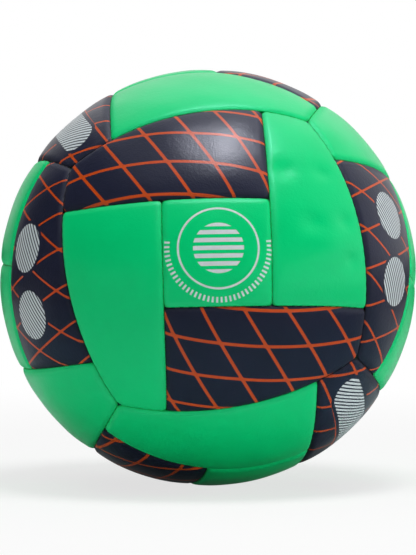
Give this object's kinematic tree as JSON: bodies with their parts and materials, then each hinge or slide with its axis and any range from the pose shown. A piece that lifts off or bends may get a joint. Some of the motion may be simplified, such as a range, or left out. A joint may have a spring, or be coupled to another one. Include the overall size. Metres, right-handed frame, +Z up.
{
  "type": "handball",
  "caption": "Inflatable handball: padded cover panels sewn in a twisted pinwheel layout over a cloth lining and an air bladder with a needle valve.",
  "frame": {"origin": "middle of the ball", "axes": "+Z up as the ball lies in the picture, -Y towards the front middle panel, which is turned a little upwards and clockwise"},
  "size_m": [0.1796, 0.1796, 0.1793],
  "materials": {
    "cover_green": "satin grained synthetic leather",
    "cover_navy": "satin grained synthetic leather with a printed orange net",
    "thread": "waxed twisted polyester",
    "lining": "plain weave",
    "bladder_rubber": "matt latex",
    "valve_rubber": "matt moulded rubber"
  },
  "bodies": {
    "root": {"back_left_panel": "cover_green", "back_lower_panel": "cover_navy", "back_middle_panel": "cover_green", "back_right_panel": "cover_green", "back_upper_panel": "cover_navy", "balance_patch": "bladder_rubber", "bladder": "bladder_rubber", "bottom_front_panel": "cover_green", "bottom_left_panel": "cover_navy", "bottom_middle_panel": "cover_green", "bottom_rear_panel": "cover_green", "bottom_right_panel": "cover_navy", "front_left_panel": "cover_green", "front_lower_panel": "cover_navy", "front_middle_panel": "cover_green", "front_right_panel": "cover_green", "front_upper_panel": "cover_navy", "left_front_panel": "cover_navy", "left_lower_panel": "cover_green", "left_middle_panel": "cover_green", "left_rear_panel": "cover_navy", "left_upper_panel": "cover_green", "lining": "lining", "right_front_panel": "cover_navy", "right_lower_panel": "cover_green", "right_middle_panel": "cover_green", "right_rear_panel": "cover_navy", "right_upper_panel": "cover_green", "seam_thread": "thread", "top_front_panel": "cover_green", "top_left_panel": "cover_navy", "top_middle_panel": "cover_green", "top_rear_panel": "cover_green", "top_right_panel": "cover_navy", "valve_core": "valve_rubber", "valve_housing": "valve_rubber", "valve_patch": "bladder_rubber"}
  },
  "joints": []
}
